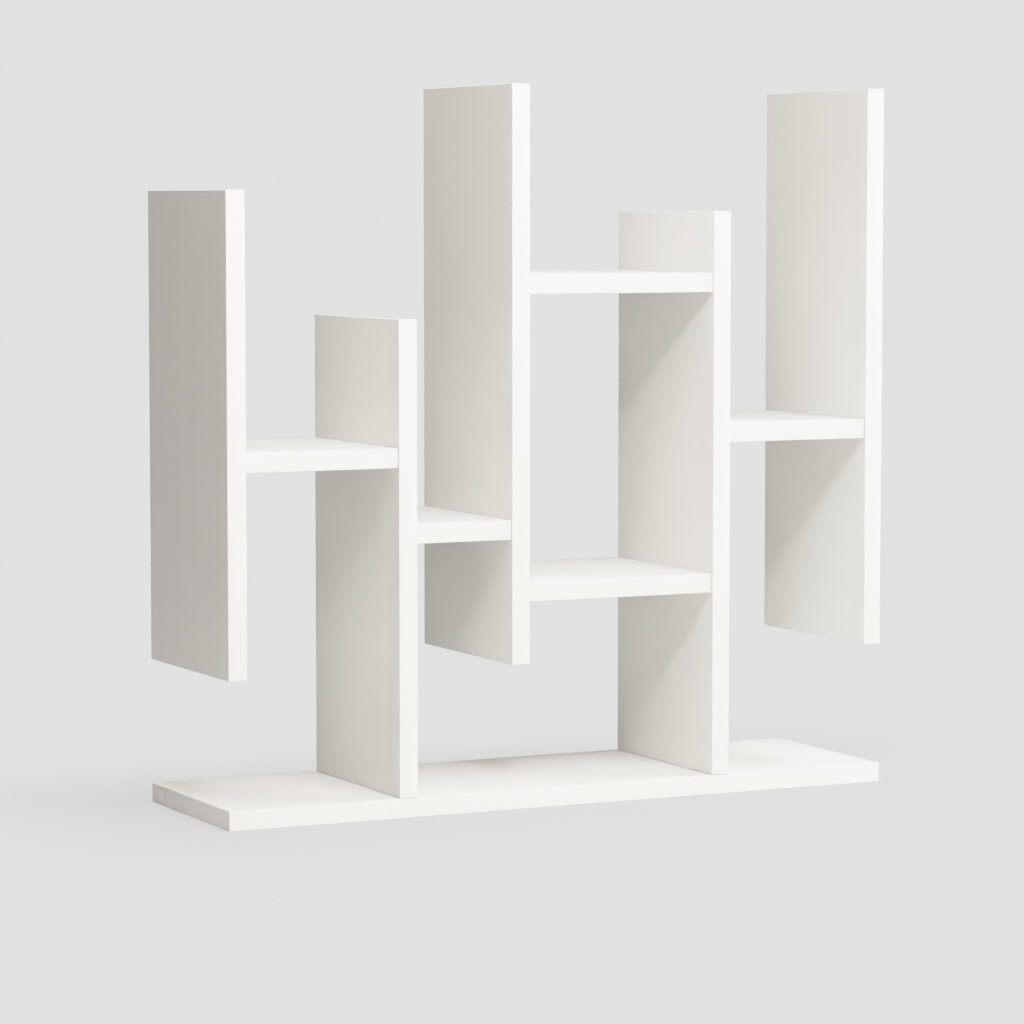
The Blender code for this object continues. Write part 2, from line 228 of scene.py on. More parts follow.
def turned_shell(rings, turn, wrap_rings=False):
    """A shell turned about Z through these angles, from (radius, height) pairs.

    A radius is one number, or one for each angle. A ring of radius 0 gathers in one point and so closes
    the shell there, and any other end ring stays open. With wrap_rings, the last ring joins the first, as
    on a ring plate.
    """
    radius = np.array([np.broadcast_to(radius, len(turn)) for radius, _ in rings])
    height = np.broadcast_to(np.array([height for _, height in rings])[:, None], radius.shape)
    quads = grid_quads(len(rings), len(turn), wrap_rows=wrap_rings, wrap_columns=True)
    return turned_points(radius, turn, height).reshape(-1, 3), quads, []


def thread_shell(span, core, depth, pitch, around):
    """A screw thread round a core between two heights, as one strip that winds up the helix.

    Column j of m and a row at t turns lie at height low + pitch * (t + j / m - 1), held within the span.
    Past the last column, a row goes on in the row of the next turn. The radius is
    core + depth * ridge * fade: ridge is the outline over one pitch, and fade goes from 0 at both ends
    to 1 half a pitch away. So the strip ends in circles on the core, where turned shells meet it.
    """
    low, high = span
    share, ridge = np.array(THREAD_SHARE), np.array(THREAD_RIDGE)
    turns = math.ceil((high - low) / pitch) + 2
    rows = (np.arange(turns)[:, None] + share).ravel()
    height = np.clip(low + pitch * (rows[:, None] + np.arange(around) / around - 1), low, high)
    fade = np.clip(np.minimum(height - low, high - height) / (pitch / 2), 0, 1)
    radius = core + depth * np.tile(ridge, turns)[:, None] * fade
    points = turned_points(radius, angles(around), height)
    row, column = (part.ravel() for part in np.indices((len(rows) - 1, around)))
    next_row = row + np.where(column == around - 1, len(share), 0)
    inside = next_row + 1 < len(rows)
    row, column, next_row = row[inside], column[inside], next_row[inside]
    next_column = (column + 1) % around
    quads = np.stack([
        row * around + column,
        (row + 1) * around + column,
        (next_row + 1) * around + next_column,
        next_row * around + next_column,
    ], axis=1)
    return points.reshape(-1, 3), quads, []


def mesh_of(name, shells, uv=None):
    """One mesh of several shells, each closed by itself or where it meets the next.

    Doubled points are merged and every face is turned outwards. A band's shells come with their UV map,
    as one (along, across) pair for each point.
    """
    points, corners, totals, first = [], [], [], 0
    for shell_points, quads, caps in shells:
        points.append(shell_points)
        corners.append((quads + first).ravel())
        totals.append(np.full(len(quads), quads.shape[1]))
        for cap in caps:
            corners.append(cap + first)
            totals.append(np.array([len(cap)]))
        first += len(shell_points)
    points, corners, totals = (np.concatenate(part) for part in (points, corners, totals))
    mesh = bpy.data.meshes.new(name)
    mesh.vertices.add(len(points))
    mesh.vertices.foreach_set("co", points.astype(np.float32).ravel())
    mesh.loops.add(len(corners))
    mesh.loops.foreach_set("vertex_index", corners.astype(np.int32))
    mesh.polygons.add(len(totals))
    mesh.polygons.foreach_set("loop_start", (np.cumsum(totals) - totals).astype(np.int32))
    mesh.polygons.foreach_set("loop_total", totals.astype(np.int32))
    mesh.update(calc_edges=True)
    if uv is not None:
        layer = mesh.uv_layers.new(name=BAND_MAP)
        layer.data.foreach_set("uv", uv[corners].astype(np.float32).ravel())
    merged = bmesh.new()
    merged.from_mesh(mesh)
    bmesh.ops.remove_doubles(merged, verts=merged.verts, dist=MERGE_DISTANCE)
    bmesh.ops.recalc_face_normals(merged, faces=merged.faces)
    merged.to_mesh(mesh)
    merged.free()
    mesh.shade_smooth()
    mesh.set_sharp_from_angle(angle=SMOOTH_ANGLE)
    return mesh


def add_piece(name, shells, material, uv=None):
    """A new piece of the unit, made of shells."""
    mesh = mesh_of(name, shells, uv)
    mesh.materials.append(material)
    piece = bpy.data.objects.new(name, mesh)
    bpy.context.scene.collection.objects.link(piece)
    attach(piece, "root")
    return piece


# Node trees

def feed(tree, socket, value):
    """Links another socket into this one, or sets this one's own value."""
    if isinstance(value, bpy.types.NodeSocket):
        tree.links.new(value, socket)
    else:
        socket.default_value = value


def calc(tree, operation, *values):
    """The result of a Math node."""
    node = tree.nodes.new("ShaderNodeMath")
    node.operation = operation
    for socket, value in zip(node.inputs, values):
        feed(tree, socket, value)
    return node.outputs[0]


def vector_calc(tree, operation, *values):
    """The result of a Vector Math node."""
    node = tree.nodes.new("ShaderNodeVectorMath")
    node.operation = operation
    for socket, value in zip(node.inputs, values):
        feed(tree, socket, value)
    return node.outputs["Value" if operation in ("LENGTH", "DOT_PRODUCT") else "Vector"]


def ramp(tree, value, low, high, to_low=0.0, to_high=1.0):
    """Eases a value from one range into another, and holds it at both ends. A range may run downwards."""
    node = tree.nodes.new("ShaderNodeMapRange")
    node.interpolation_type = "SMOOTHSTEP"
    for label, part in (("Value", value), ("From Min", low), ("From Max", high)):
        feed(tree, node.inputs[label], part)
    node.inputs["To Min"].default_value = to_low
    node.inputs["To Max"].default_value = to_high
    return node.outputs["Result"]


def noise(tree, vector, features, detail=2.0, roughness=0.5):
    """Soft noise with this many features a metre along each axis."""
    node = tree.nodes.new("ShaderNodeTexNoise")
    node.inputs["Scale"].default_value = 1.0
    node.inputs["Detail"].default_value = detail
    node.inputs["Roughness"].default_value = roughness
    feed(tree, node.inputs["Vector"], vector_calc(tree, "MULTIPLY", vector, features))
    return node.outputs["Fac"]


def sum_of_shares(tree, *parts, start=None):
    """Adds up (value, share) pairs, each value times its share, on top of a start value if there is one."""
    total = start
    for value, share in parts:
        part = calc(tree, "MULTIPLY", value, share)
        total = part if total is None else calc(tree, "ADD", total, part)
    return total


def blend(tree, factor, first, second):
    """The first colour where the factor is 0 and the second where it is 1."""
    node = tree.nodes.new("ShaderNodeMix")
    node.data_type = "RGBA"
    feed(tree, node.inputs["Factor"], factor)
    colours = [socket for socket in node.inputs if socket.type == "RGBA"]
    for socket, value in zip(colours, (first, second)):
        feed(tree, socket, value if isinstance(value, bpy.types.NodeSocket) else (*value, 1))
    return next(socket for socket in node.outputs if socket.type == "RGBA")


def marked(tree, colour, *marks):
    """A colour with marks laid over it, each as (where it is, how strong it is, its colour)."""
    for where, strength, shade in marks:
        colour = blend(tree, calc(tree, "MULTIPLY", where, strength), colour, shade)
    return colour


def object_place(tree):
    """Where the surface lies, in metres from the unit's origin."""
    return tree.nodes.new("ShaderNodeTexCoord").outputs["Object"]


def new_group(name, inputs, outputs):
    """A shader node group. Its inputs and outputs are given as (name, kind)."""
    group = bpy.data.node_groups.new(name, "ShaderNodeTree")
    for label, kind in inputs:
        group.interface.new_socket(label, in_out="INPUT", socket_type=kind)
    for label, kind in outputs:
        group.interface.new_socket(label, in_out="OUTPUT", socket_type=kind)
    return group, group.nodes.new("NodeGroupInput").outputs, group.nodes.new("NodeGroupOutput").inputs


def use_group(tree, group, **values):
    """Places a group in a tree, with a value for each input, named for it with underscores for spaces."""
    node = tree.nodes.new("ShaderNodeGroup")
    node.node_tree = group
    for label, value in values.items():
        feed(tree, node.inputs[label.replace("_", " ")], value)
    return node.outputs


def new_material(name):
    """A material, its node tree and its shader."""
    material = bpy.data.materials.new(name)
    material.use_nodes = True
    return material, material.node_tree, material.node_tree.nodes["Principled BSDF"]


def bump(tree, shader, height, distance):
    """Relief in the shader's normal, as high as the distance where the height is 1."""
    node = tree.nodes.new("ShaderNodeBump")
    node.inputs["Distance"].default_value = distance
    feed(tree, node.inputs["Height"], height)
    tree.links.new(node.outputs["Normal"], shader.inputs["Normal"])


FLOAT, VECTOR, COLOUR = "NodeSocketFloat", "NodeSocketVector", "NodeSocketColor"


def board_place_group():
    """Depth below the nearest face of a board, and the distance to its nearest edge.

    With d the board's half size less the distance from its centre along each axis, the depth is the
    smallest of the three d and the edge distance is the middle one.
    """
    group, given, result = new_group(
        "board_place",
        [("Centre", VECTOR), ("Half Size", VECTOR)],
        [("Depth", FLOAT), ("Edge Distance", FLOAT)],
    )
    from_centre = vector_calc(group, "SUBTRACT", object_place(group), given["Centre"])
    away = vector_calc(group, "ABSOLUTE", from_centre)
    split = group.nodes.new("ShaderNodeSeparateXYZ")
    feed(group, split.inputs[0], vector_calc(group, "SUBTRACT", given["Half Size"], away))
    x, y, z = split.outputs
    least = calc(group, "MINIMUM", calc(group, "MINIMUM", x, y), z)
    most = calc(group, "MAXIMUM", calc(group, "MAXIMUM", x, y), z)
    total = calc(group, "ADD", calc(group, "ADD", x, y), z)
    feed(group, result["Depth"], least)
    feed(group, result["Edge Distance"], calc(group, "SUBTRACT", total, calc(group, "ADD", least, most)))
    return group


def melamine_paper_group():
    """The printed and pressed face: long faint streaks, clouds, fine pores and a pearled press texture.

    The grain runs along the given vector's X, and each layer is noise drawn out along it.
    """
    group, given, result = new_group(
        "melamine_paper", [("Vector", VECTOR)], [("Tone", FLOAT), ("Pores", FLOAT), ("Height", FLOAT)]
    )
    place = given["Vector"]
    streaks = noise(group, place, (2.5, 240, 240), 3, 0.6)
    cloud = noise(group, place, (5, 9, 9), 2)
    tone = sum_of_shares(group, (streaks, 0.65), (cloud, 0.35))
    pores = ramp(group, noise(group, place, (190, 2300, 2300), 1), 0.60, 0.70)
    pearl = noise(group, place, (1300, 1500, 1500), 2)
    feed(group, result["Tone"], ramp(group, tone, *NOISE_SPAN))
    feed(group, result["Pores"], pores)
    feed(group, result["Height"], sum_of_shares(group, (pearl, 0.6), (pores, -0.4)))
    return group


def handling_group():
    """Dust that lies on what faces up, hand smudges, and rubbed edges."""
    group, given, result = new_group(
        "handling",
        [("Vector", VECTOR), ("Edge Distance", FLOAT)],
        [("Dust", FLOAT), ("Smudge", FLOAT), ("Wear", FLOAT)],
    )
    place = given["Vector"]
    facing = group.nodes.new("ShaderNodeSeparateXYZ")
    feed(group, facing.inputs[0], group.nodes.new("ShaderNodeNewGeometry").outputs["Normal"])
    upward = ramp(group, facing.outputs["Z"], 0.6, 0.95)
    film = ramp(group, noise(group, place, (14, 14, 14), 3, 0.6), 0.35, 0.75)
    specks = ramp(group, noise(group, place, (1100, 1100, 1100), 1), 0.66, 0.74)
    dust = sum_of_shares(group, (film, 0.6), (specks, 0.4))
    feed(group, result["Dust"], calc(group, "MULTIPLY", dust, upward))
    feed(group, result["Smudge"], ramp(group, noise(group, place, (22, 22, 22), 4, 0.65), 0.5, 0.72))
    rubbed = ramp(group, noise(group, place, (160, 160, 160), 3, 0.7), 0.45, 0.7)
    near = ramp(group, given["Edge Distance"], *RUBBED_EDGE)
    feed(group, result["Wear"], calc(group, "MULTIPLY", rubbed, near))
    return group


def chipboard_group():
    """Pressed wood chips: cells with a colour each, drawn out flat, and a rough surface."""
    group, given, result = new_group(
        "chipboard", [("Vector", VECTOR)], [("Colour", COLOUR), ("Height", FLOAT)]
    )
    cells = group.nodes.new("ShaderNodeTexVoronoi")
    cells.inputs["Scale"].default_value = 1.0
    cells.inputs["Randomness"].default_value = 1.0
    feed(group, cells.inputs["Vector"], vector_calc(group, "MULTIPLY", given["Vector"], (420, 420, 900)))
    shade = group.nodes.new("ShaderNodeSeparateXYZ")
    feed(group, shade.inputs[0], cells.outputs["Color"])
    fibre = noise(group, given["Vector"], (900, 2400, 2400), 3, 0.6)
    chips = blend(group, shade.outputs["X"], CHIP_DARK, CHIP_LIGHT)
    feed(group, result["Colour"], blend(group, ramp(group, fibre, *NOISE_SPAN), chips, CHIP_FIBRE))
    feed(group, result["Height"], calc(group, "ADD", cells.outputs["Distance"], fibre))
    return group


def metal_skin_group():
    """Mottling of a bare metal skin and its fine grain."""
    group, given, result = new_group(
        "metal_skin",
        [("Vector", VECTOR), ("Grain", FLOAT)],
        [("Mottle", FLOAT), ("Height", FLOAT)],
    )
    place = given["Vector"]
    fine = group.nodes.new("ShaderNodeTexNoise")
    fine.inputs["Detail"].default_value = 2
    feed(group, fine.inputs["Vector"], place)
    feed(group, fine.inputs["Scale"], given["Grain"])
    feed(group, result["Mottle"], ramp(group, noise(group, place, (420, 420, 420), 3, 0.6), 0.35, 0.7))
    feed(group, result["Height"], fine.outputs["Fac"])
    return group


BOARD_PLACE = board_place_group()
MELAMINE_PAPER = melamine_paper_group()
HANDLING = handling_group()
CHIPBOARD = chipboard_group()
METAL_SKIN = metal_skin_group()


def grain_place(tree, upright, shift):
    """Object coordinates with the grain turned to X and the pattern moved on by a shift."""
    turned = tree.nodes.new("ShaderNodeMapping")
    turned.inputs["Location"].default_value = shift
    turned.inputs["Rotation"].default_value = (0, math.pi / 2 if upright else 0, 0)
    feed(tree, turned.inputs["Vector"], object_place(tree))
    return turned.outputs["Vector"]


def melamine_board(board, number):
    """White melamine-faced board. Where a bore goes below the paper, its wall shows the chip core."""
    low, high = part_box(board)
    material, tree, shader = new_material(f"white_melamine_{board}")
    place = grain_place(tree, board in UPRIGHTS, [number * step for step in PATTERN_STEP])
    where = use_group(tree, BOARD_PLACE, Centre=(low + high) / 2, Half_Size=(high - low) / 2)
    paper = use_group(tree, MELAMINE_PAPER, Vector=place)
    handled = use_group(tree, HANDLING, Vector=place, Edge_Distance=where["Edge Distance"])
    chips = use_group(tree, CHIPBOARD, Vector=place)
    ragged = calc(tree, "MULTIPLY", noise(tree, place, (900, 900, 900), 2), CORE_RAGGED)
    core = ramp(tree, calc(tree, "SUBTRACT", where["Depth"], ragged), *CORE_DEPTH)
    colour = marked(
        tree,
        blend(tree, paper["Tone"], PAPER_LIGHT, PAPER_DARK),
        (paper["Pores"], 0.12, PAPER_PORE),
        (handled["Wear"], 0.18, PAPER_RUBBED),
        (handled["Dust"], 0.07, PAPER_DUST),
    )
    feed(tree, shader.inputs["Base Color"], blend(tree, core, colour, chips["Colour"]))
    satin = sum_of_shares(
        tree,
        (paper["Tone"], 0.05),
        (handled["Dust"], 0.12),
        (handled["Smudge"], -0.05),
        start=PAPER_ROUGHNESS,
    )
    rough_core = calc(tree, "MULTIPLY", core, CORE_ROUGHNESS)
    feed(tree, shader.inputs["Roughness"], calc(tree, "MAXIMUM", satin, rough_core))
    height = calc(tree, "ADD", paper["Height"], calc(tree, "MULTIPLY", core, chips["Height"]))
    bump(tree, shader, height, PAPER_RELIEF)
    return material


def edge_band_material():
    """The glued edging: faint scraper lines along it, rubbed rounding, and the glue line at its lips.

    The UV map holds metres along the band in U and metres from the nearer lip in V.
    """
    material, tree, shader = new_material("white_edge_band")
    place = object_place(tree)
    uv = tree.nodes.new("ShaderNodeUVMap")
    uv.uv_map = BAND_MAP
    split = tree.nodes.new("ShaderNodeSeparateXYZ")
    feed(tree, split.inputs[0], uv.outputs["UV"])
    across = split.outputs["Y"]
    lines = noise(tree, uv.outputs["UV"], (9, 3200, 1), 2, 0.6)
    cloud = noise(tree, place, (7, 7, 7), 3, 0.6)
    pearl = noise(tree, place, (1500, 1500, 1500), 2)
    glue = ramp(tree, across, *GLUE_LINE)
    rubbed = ramp(tree, noise(tree, place, (130, 130, 130), 3, 0.7), 0.52, 0.72)
    on_round = calc(tree, "MULTIPLY", rubbed, ramp(tree, across, *RUBBED_ROUND))
    colour = blend(tree, ramp(tree, cloud, *NOISE_SPAN), BAND_LIGHT, BAND_DARK)
    colour = marked(tree, colour, (on_round, 0.15, BAND_RUBBED), (glue, 0.75, BAND_GLUE))
    feed(tree, shader.inputs["Base Color"], colour)
    satin = sum_of_shares(tree, (lines, 0.08), (on_round, 0.12), start=BAND_ROUGHNESS)
    feed(tree, shader.inputs["Roughness"], satin)
    bump(tree, shader, calc(tree, "ADD", calc(tree, "MULTIPLY", lines, 0.7), pearl), BAND_RELIEF)
    return material


def zinc_material():
    """Bare die-cast zinc with a dull mottled skin."""
    material, tree, shader = new_material("die_cast_zinc")
    skin = use_group(tree, METAL_SKIN, Vector=object_place(tree), Grain=ZINC_GRAIN)
    feed(tree, shader.inputs["Base Color"], blend(tree, skin["Mottle"], ZINC_BRIGHT, ZINC_DULL))
    shader.inputs["Metallic"].default_value = 1.0
    feed(tree, shader.inputs["Roughness"], ramp(tree, skin["Mottle"], 0, 1, *ZINC_ROUGHNESS))
    bump(tree, shader, skin["Height"], ZINC_RELIEF)
    return material


def plated_steel_material():
    """Zinc-plated steel: brighter, with a faint warm and cool passivation."""
    material, tree, shader = new_material("zinc_plated_steel")
    skin = use_group(tree, METAL_SKIN, Vector=object_place(tree), Grain=PLATING_GRAIN)
    feed(tree, shader.inputs["Base Color"], blend(tree, skin["Mottle"], PLATING_WARM, PLATING_COOL))
    shader.inputs["Metallic"].default_value = 1.0
    feed(tree, shader.inputs["Roughness"], ramp(tree, skin["Mottle"], 0, 1, *PLATING_ROUGHNESS))
    bump(tree, shader, skin["Height"], PLATING_RELIEF)
    return material


def beech_material(name, upright):
    """Bare beech: fine long grain with short dark rays."""
    material, tree, shader = new_material(name)
    place = grain_place(tree, upright, (0, 0, 0))
    grain = noise(tree, place, (60, 1400, 1400), 3, 0.6)
    rays = ramp(tree, noise(tree, place, (350, 2600, 2600), 1), 0.62, 0.70)
    colour = blend(tree, ramp(tree, grain, *NOISE_SPAN), BEECH_LIGHT, BEECH_DARK)
    feed(tree, shader.inputs["Base Color"], marked(tree, colour, (rays, 0.6, BEECH_RAY)))
    feed(tree, shader.inputs["Roughness"], ramp(tree, grain, *NOISE_SPAN, *BEECH_ROUGHNESS))
    bump(tree, shader, grain, BEECH_RELIEF)
    return material


def finish_node(name, material):
    """Puts a finish on one of the CAD solids that stay in view."""
    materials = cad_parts[name].data.materials
    materials.clear()
    materials.append(material)


def finish_boards():
    """Gives each board its own stretch of the melamine paper."""
    for number, board in enumerate(BOARDS, 1):
        finish_node(board, melamine_board(board, number))


# Edge bands

def band_profile():
    """The band's outline across the board's edge, as (outward, across, distance from the nearer lip).

    Two quarter circles about the centres of the board's rounded edges, larger by the lift, joined by a
    straight line outside and closed by the root, a straight line inside the board. All boards are as
    thick as the base, which stands on z = 0.
    """
    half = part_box("base_board")[1].z / 2
    turn = np.linspace(0, math.pi / 2, ARC_STEPS + 1)
    radius = BAND_RADIUS + BAND_LIFT
    top_u, top_v = radius * np.sin(turn), half - BAND_RADIUS + radius * np.cos(turn)
    middle = np.array([[radius, 0.0]])
    top = np.stack([top_u, top_v], 1)
    bottom = np.stack([top_u, -top_v], 1)[::-1]
    root = np.array([[0, -(half - BAND_ROOT)], [0, half - BAND_ROOT]])
    outline = np.concatenate([top, middle, bottom, root])
    along = radius * turn
    lip = np.concatenate([along, [radius * math.pi / 2 + half - BAND_RADIUS], along[::-1], [0, 0]])
    return outline, lip


def band_path(start, end, first_turn=False, last_turn=False):
    """Stations of a band along one straight side, as (point, outward direction) in the board's plane.

    The outward direction lies to the right of the way from start to end. At an end that goes round a
    corner, it swings through a quarter circle about the last point.
    """
    start, end = np.asarray(start, float), np.asarray(end, float)
    ahead = (end - start) / np.linalg.norm(end - start)
    out = np.array([ahead[1], -ahead[0]])
    swing = np.linspace(0, math.pi / 2, ARC_STEPS + 1)[:, None]
    points, outs = [], []
    if first_turn:
        points.append(np.repeat(start[None], ARC_STEPS, 0))
        outs.append((-ahead * np.cos(swing) + out * np.sin(swing))[:-1])
    points.append(np.stack([start, end]))
    outs.append(np.stack([out, out]))
    if last_turn:
        points.append(np.repeat(end[None], ARC_STEPS, 0))
        outs.append((out * np.cos(swing) + ahead * np.sin(swing))[1:])
    return np.concatenate(points), np.concatenate(outs)


def band_shell(board, axes, path):
    """The band's profile carried along its path. axes are the two axes of the board's plane."""
    low, high = (np.array(corner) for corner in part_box(board))
    thickness_axis = ({0, 1, 2} - set(axes)).pop()
    outline, lip = band_profile()
    points, outs = path
    flat = points[:, None, :] + outs[:, None, :] * outline[None, :, :1]
    shell = np.empty((len(points), len(outline), 3))
    shell[:, :, axes[0]] = flat[:, :, 0]
    shell[:, :, axes[1]] = flat[:, :, 1]
    shell[:, :, thickness_axis] = (low + high)[thickness_axis] / 2 + outline[None, :, 1]
    step = np.linalg.norm(np.diff(flat[:, ARC_STEPS], axis=0), axis=1)
    along = np.concatenate([[0], np.cumsum(step)])
    uv = np.stack(np.broadcast_arrays(along[:, None], lip[None, :]), axis=-1).reshape(-1, 2)
    return swept_shell(shell), uv


def rim_paths(board, axes, sides):
    """Paths of the bands on these sides of a board's rim, as band_path takes them.

    a is the first of the board's two axes and b the second, and low_b is the side where b is lowest. Bands
    along a go round the corners, and bands along b go between them. On a standing upright, a begins at
    the foot, which has no band. The ends of a shelf have none.
    """
    low, high = (np.array(corner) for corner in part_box(board))
    a0, a1 = low[axes[0]] + BAND_RADIUS, high[axes[0]] - BAND_RADIUS
    b0, b1 = low[axes[1]] + BAND_RADIUS, high[axes[1]] - BAND_RADIUS
    every = {
        "low_b": ((a0, b0), (a1, b0), True, True),
        "high_b": ((a1, b1), (a0, b1), True, True),
        "low_a": ((a0, b1 - BAND_JOINT), (a0, b0 + BAND_JOINT), False, False),
        "high_a": ((a1, b0 + BAND_JOINT), (a1, b1 - BAND_JOINT), False, False),
        "low_b_from_foot": ((low[axes[0]], b0), (a1, b0), False, True),
        "high_b_to_foot": ((a1, b1), (low[axes[0]], b1), True, False),
        "low_b_between": ((low[axes[0]], b0), (high[axes[0]], b0), False, False),
        "high_b_between": ((high[axes[0]], b1), (low[axes[0]], b1), False, False),
    }
    return [band_path(*every[side]) for side in sides]


def add_edge_bands():
    """Bands on the boards' rims. Long bands go round the corners, and short ones end between them.

    They go all round the base and the hanging uprights, on three sides of the standing uprights, and on
    the front and back of the shelves.
    """
    whole = ("low_b", "high_b", "low_a", "high_a")
    standing = ("low_b_from_foot", "high_b_to_foot", "high_a")
    rims = {"base_board": ((0, 1), whole)}
    rims.update({board: ((2, 1), whole) for board in HANGING_UPRIGHTS})
    rims.update({board: ((2, 1), standing) for board in STANDING_UPRIGHTS})
    rims.update({board: ((0, 1), ("low_b_between", "high_b_between")) for board in SHELVES})
    material = edge_band_material()
    for board, (axes, sides) in rims.items():
        made = [band_shell(board, axes, path) for path in rim_paths(board, axes, sides)]
        shells = [shell for shell, _ in made]
        uv = np.concatenate([part for _, part in made])
        add_piece(f"{board}_edge_band", shells, material, uv)


# Fittings

def polygon_radius(turn, sides, apothem):
    """Distance from the axis to a regular polygon's side: apothem / cos(angle from that side's middle)."""
    half = math.pi / sides
    return apothem / np.cos((turn + half) % (2 * half) - half)


def cross_radius(turn, half_length, half_width):
    """Distance from the axis to the outline of a cross with one arm at angle 0.

    With a the angle from the nearest arm's middle, it is the lesser of half_length / cos a and
    half_width / sin a.
    """
    quarter = math.pi / 2
    off_arm = np.abs((turn + quarter / 2) % quarter - quarter / 2)
    return np.minimum(half_length / np.cos(off_arm), half_width / np.maximum(np.sin(off_arm), TINY))


def screw_shells():
    """A base screw: socket, head, shank, thread and chamfered tip."""
    turn = angles(SCREW_AROUND)
    socket = polygon_radius(turn, SOCKET_SIDES, SOCKET_APOTHEM)
    cone_end = HEAD_RIM + HEAD_RADIUS - SHANK_RADIUS
    thread_start, thread_end = SCREW_THREAD_SPAN
    head = [
        (0, SOCKET_DEPTH + SOCKET_CONE),
        (SOCKET_APOTHEM - EDGE_BREAK, SOCKET_DEPTH),
        (socket, SOCKET_DEPTH),
        (socket, SOCKET_MOUTH),
        (np.max(socket) + EDGE_BREAK / 2, 0),
        (HEAD_RADIUS - EDGE_BREAK, 0),
        (HEAD_RADIUS, EDGE_BREAK),
        (HEAD_RADIUS, HEAD_RIM),
        (SHANK_RADIUS + EDGE_BREAK, cone_end - EDGE_BREAK),
        (SHANK_RADIUS, cone_end + EDGE_BREAK),
        (SHANK_RADIUS, SHANK_END - EDGE_BREAK),
        (SHANK_RADIUS - EDGE_BREAK, SHANK_END),
        (SCREW_CORE, SHANK_END),
        (SCREW_CORE, thread_start),
    ]
    tip = [
        (SCREW_CORE, thread_end),
        (SCREW_CORE, SCREW_LENGTH - TIP_CHAMFER),
        (SCREW_CORE - TIP_CHAMFER, SCREW_LENGTH),
        (0, SCREW_LENGTH),
    ]
    thread = thread_shell(SCREW_THREAD_SPAN, SCREW_CORE, SCREW_THREAD_DEPTH, SCREW_PITCH, SCREW_AROUND)
    return [turned_shell(head, turn), thread, turned_shell(tip, turn)]


def bolt_shells(length):
    """A connecting bolt: ball, neck, collar, thread and chamfered tip."""
    turn = angles(BOLT_AROUND)
    centre = BOLT_TIP - length + BALL_RADIUS
    sweep = np.linspace(math.pi, math.asin(NECK_RADIUS / BALL_RADIUS), BALL_POINTS)
    collar_back, collar_front = COLLAR_SPAN
    thread_start, thread_end = BOLT_THREAD_SPAN
    head = [(BALL_RADIUS * math.sin(angle), centre + BALL_RADIUS * math.cos(angle)) for angle in sweep[1:]]
    head = [(0, centre - BALL_RADIUS)] + head + [
        (NECK_RADIUS, collar_back - 2 * EDGE_BREAK),
        (NECK_RADIUS + EDGE_BREAK, collar_back),
        (COLLAR_RADIUS - EDGE_BREAK, collar_back),
        (COLLAR_RADIUS, collar_back + EDGE_BREAK),
        (COLLAR_RADIUS, collar_front - EDGE_BREAK),
        (COLLAR_RADIUS - EDGE_BREAK, collar_front),
        (BOLT_CORE, collar_front),
        (BOLT_CORE, thread_start),
    ]
    tip = [
        (BOLT_CORE, thread_end),
        (BOLT_CORE, BOLT_TIP - TIP_CHAMFER),
        (BOLT_CORE - TIP_CHAMFER, BOLT_TIP),
        (0, BOLT_TIP),
    ]
    thread = thread_shell(BOLT_THREAD_SPAN, BOLT_CORE, BOLT_THREAD_DEPTH, BOLT_PITCH, BOLT_AROUND)
    return [turned_shell(head, turn), thread, turned_shell(tip, turn)]


def dowel_shells():
    """A fluted dowel centred on the origin. Its ends are rounded by a quarter circle.

    The flutes follow radius - depth * sin(flutes * angle / 2) ** power.
    """
    turn = angles(DOWEL_AROUND)
    fluted = DOWEL_RADIUS - FLUTE_DEPTH * np.sin(DOWEL_FLUTES * turn / 2) ** FLUTE_POWER
    ends = [
        (np.minimum(fluted, DOWEL_RADIUS - DOWEL_ROUND * (1 - math.sin(angle))),
         DOWEL_LENGTH / 2 - DOWEL_ROUND * (1 - math.cos(angle)))
        for angle in np.linspace(0, math.pi / 2, DOWEL_ROUND_POINTS)
    ]
    low = [(0, -DOWEL_LENGTH / 2)] + [(radius, -height) for radius, height in ends]
    high = [(radius, height) for radius, height in reversed(ends)] + [(0, DOWEL_LENGTH / 2)]
    return [turned_shell(low + high, turn)]


